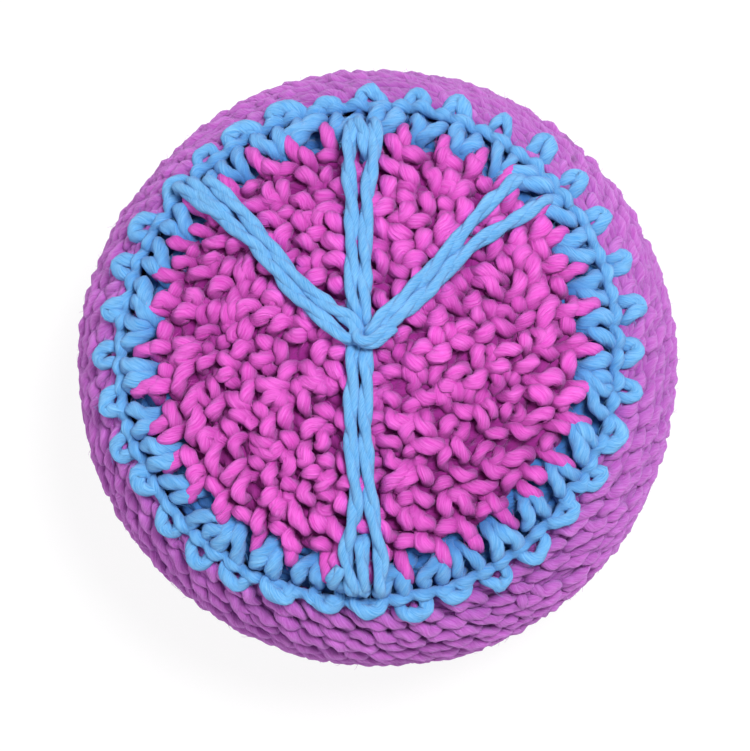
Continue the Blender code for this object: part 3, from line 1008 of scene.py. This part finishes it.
# painted shade and a painted bluish cast: the side, base and closing knot are the same magenta yarn as the
# face, given this darker, bluer copy of its finish
shadedSideFinish = dict(magentaFinish, **{
    "Dye": (0.485, 0.083, 0.493, 1), "Pale Fibre And Painted Sheen": (0.74, 0.318, 0.82, 1),
    "Deep Fibre": (0.37, 0.058, 0.413, 1), "Painted Shade Color": (0.19, 0.024, 0.26, 1),
    "Painted Shade Start": -0.1, "Painted Shade End": 2.0, "edgeFrom": 0.5, "edgeShade": 0.2,
    "sheenTint": (0.75, 0.55, 1.0, 1)})
blueFinish = dict(yarnFinish, **{
    "Dye": (0.082, 0.35, 0.745, 1), "Pale Fibre And Painted Sheen": (0.345, 0.675, 0.965, 1),
    "Deep Fibre": (0.05, 0.275, 0.645, 1), "Painted Shade Color": (0.045, 0.19, 0.54, 1),
    "Painted Shade Start": 0.0, "Painted Shade End": 2.5, "edgeFrom": 0.2, "edgeShade": 0.55,
    "sheenTint": (0.6, 0.75, 1.0, 1)})
magenta = yarnMaterial("magentaYarn", magentaFinish)
shadedSideYarn = yarnMaterial("magentaYarnSide", shadedSideFinish)
blue = yarnMaterial("blueYarn", blueFinish)
for name, made in pieces.items():
    if "border" in name or "arm" in name or "tie" in name:
        made.data.materials.append(blue)
    elif "side" in name or "base" in name or "closing" in name:
        # painted shade: the magenta yarn's darker, bluer copy
        made.data.materials.append(shadedSideYarn)
    else:
        made.data.materials.append(magenta)

pelletFinish = {
    "cloudSize": 260.0, "cloudDetail": 3.0, "milky": (0.70, 0.72, 0.72, 1), "pale": (0.88, 0.88, 0.86, 1),
    "roughLow": 0.28, "roughHigh": 0.5,
}
pelletLook, pelletTree = newMaterial("pelletPlastic")
place = node(pelletTree, "ShaderNodeTexCoord").outputs["Object"]
cloud = node(pelletTree, "ShaderNodeTexNoise", {
    "Vector": place, "Scale": pelletFinish["cloudSize"], "Detail": pelletFinish["cloudDetail"]})
cloud = cloud.outputs["Fac"]
pelletRough = mapped(pelletTree, cloud, {
    "To Min": pelletFinish["roughLow"], "To Max": pelletFinish["roughHigh"]})
pelletShader = node(pelletTree, "ShaderNodeBsdfPrincipled", {
    "Base Color": mixed(pelletTree, cloud, pelletFinish["milky"], pelletFinish["pale"]),
    "Roughness": pelletRough})
pelletEnd = node(pelletTree, "ShaderNodeOutputMaterial")
pelletTree.links.new(pelletShader.outputs["BSDF"], pelletEnd.inputs["Surface"])
pellets.data.materials.append(pelletLook)
print("materials made")

pieces["pelletFilling"] = pellets
for made in pieces.values():
    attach(made, "root")
for section in (stitchSection, plySection):
    bpy.data.objects.remove(section)

# Floor and light. The floor is white to the camera and still takes a faint shadow.
studio = {
    "floorSize": 3.0,
    "paper": (0.98, 0.98, 0.98, 1),
    "glow": 1.02,
    "shadowShare": 0.15,
    "worldGrey": 0.36,
    "lamps": [
        # place in metres, size, watts
        ((0.32, 0.16, 0.82), 0.36, 8.6),
        ((-0.55, -0.20, 0.50), 0.60, 1.8),
    ],
}
floorWork = bmesh.new()
bmesh.ops.create_grid(floorWork, x_segments=8, y_segments=8, size=studio["floorSize"] / 2)
floorMesh = bpy.data.meshes.new("studioFloor")
floorWork.to_mesh(floorMesh)
floorWork.free()
floor = bpy.data.objects.new("studioFloor", floorMesh)
scene.collection.objects.link(floor)
floorLook, floorTree = newMaterial("paperWhite")
ray = node(floorTree, "ShaderNodeLightPath").outputs
seen = maths(floorTree, "MAXIMUM", ray["Is Camera Ray"], ray["Is Glossy Ray"])
seenToo = maths(floorTree, "MAXIMUM", seen, ray["Is Transmission Ray"])
white = maths(floorTree, "MULTIPLY", seenToo, 1 - studio["shadowShare"])
paper = node(floorTree, "ShaderNodeBsdfDiffuse", {"Color": studio["paper"]})
glow = node(floorTree, "ShaderNodeEmission", {"Color": (1, 1, 1, 1), "Strength": studio["glow"]})
floorMix = node(floorTree, "ShaderNodeMixShader", {0: white, 1: paper.outputs[0], 2: glow.outputs[0]})
floorEnd = node(floorTree, "ShaderNodeOutputMaterial")
floorTree.links.new(floorMix.outputs[0], floorEnd.inputs["Surface"])
floor.data.materials.append(floorLook)

world = bpy.data.worlds.new("studioWorld")
scene.world = world
world.use_nodes = True
sky = world.node_tree
sky.nodes.clear()
skyRay = node(sky, "ShaderNodeLightPath").outputs
skySeen = maths(sky, "MAXIMUM", skyRay["Is Camera Ray"], skyRay["Is Transmission Ray"])
skyLevel = mapped(sky, skySeen, {"To Min": studio["worldGrey"], "To Max": 1.0})
skyShade = node(sky, "ShaderNodeBackground", {"Color": (1, 1, 1, 1), "Strength": skyLevel})
skyEnd = node(sky, "ShaderNodeOutputWorld")
sky.links.new(skyShade.outputs[0], skyEnd.inputs["Surface"])

bagMiddle = Vector((0, 0, bag["girthHeight"] * mm))
for number, (spot, size, watts) in enumerate(studio["lamps"]):
    lamp = bpy.data.lights.new("softLamp%d" % (number + 1), "AREA")
    lamp.shape = "DISK"
    lamp.size = size
    lamp.energy = watts
    holder = bpy.data.objects.new(lamp.name, lamp)
    holder.location = spot
    holder.rotation_euler = (bagMiddle - Vector(spot)).to_track_quat("-Z", "Y").to_euler()
    scene.collection.objects.link(holder)

# The photograph looks almost straight down, a little from the lower right.
view = {
    "tilt": math.radians(9.3),
    "around": math.radians(-58),
    "distance": 0.45,
    "lens": 229.5,
    "right": -0.24,
    "up": -0.82,
}
tilt, around = view["tilt"], view["around"]
back = Vector((math.sin(tilt) * math.cos(around), math.sin(tilt) * math.sin(around), math.cos(tilt)))
up = (Vector((0, 1, 0)) - back * back.y).normalized()
right = up.cross(back)
cameraData = bpy.data.cameras.new("photoCamera")
cameraData.lens = view["lens"]
cameraData.sensor_width = 36
cameraData.clip_start = 0.01
cameraData.clip_end = 20
camera = bpy.data.objects.new("photoCamera", cameraData)
turned = Matrix((right, up, back)).transposed().to_4x4()
turned.translation = bagMiddle + back * view["distance"] + (right * view["right"] + up * view["up"]) * mm
camera.matrix_world = turned
scene.collection.objects.link(camera)
scene.camera = camera
scene.view_settings.view_transform = "Standard"
print("studio set")
